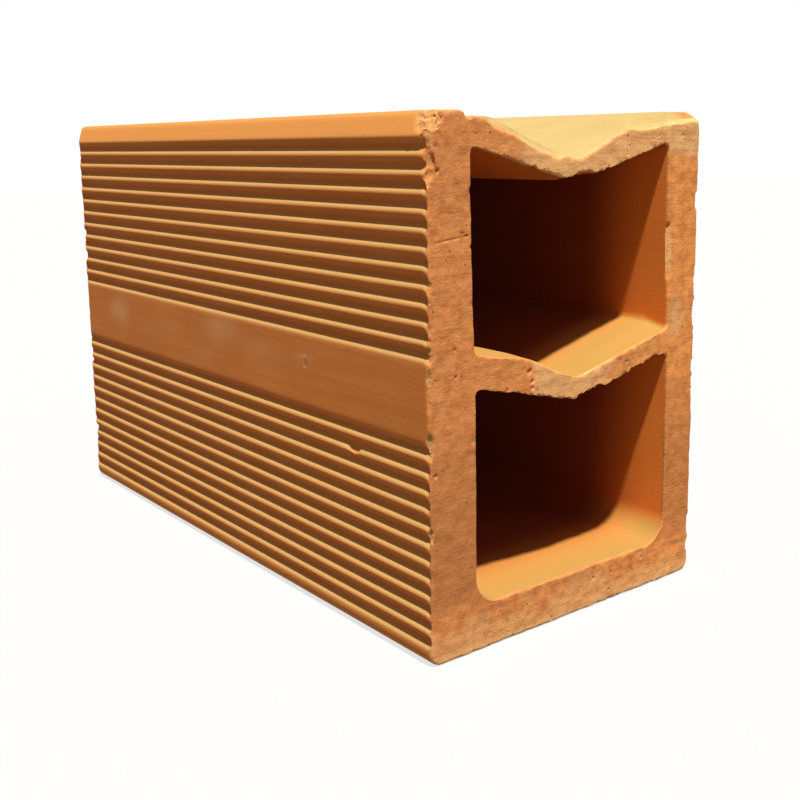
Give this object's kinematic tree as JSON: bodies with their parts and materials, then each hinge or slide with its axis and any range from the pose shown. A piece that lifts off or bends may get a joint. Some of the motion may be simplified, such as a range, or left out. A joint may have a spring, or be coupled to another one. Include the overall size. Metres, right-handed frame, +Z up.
{
  "type": "hollow clay channel block",
  "caption": "Extruded fired-clay building block with stacked through cells, V-shaped break-out webs, scored side faces and wire-cut ends, laid in courses as a bond-beam channel.",
  "frame": {"origin": "middle of the bed face, on the surface that the block lies on", "axes": "+X along the extrusion towards the end seen in the picture, +Y across the width away from the ribbed side seen in the picture, +Z up"},
  "size_m": [0.29, 0.14, 0.19],
  "materials": {
    "fired_clay": "unglazed matt orange terracotta, extruded faces smooth and scored, ends rough from the cutting wire"
  },
  "bodies": {
    "root": {"channel_block": "fired_clay"}
  },
  "joints": []
}
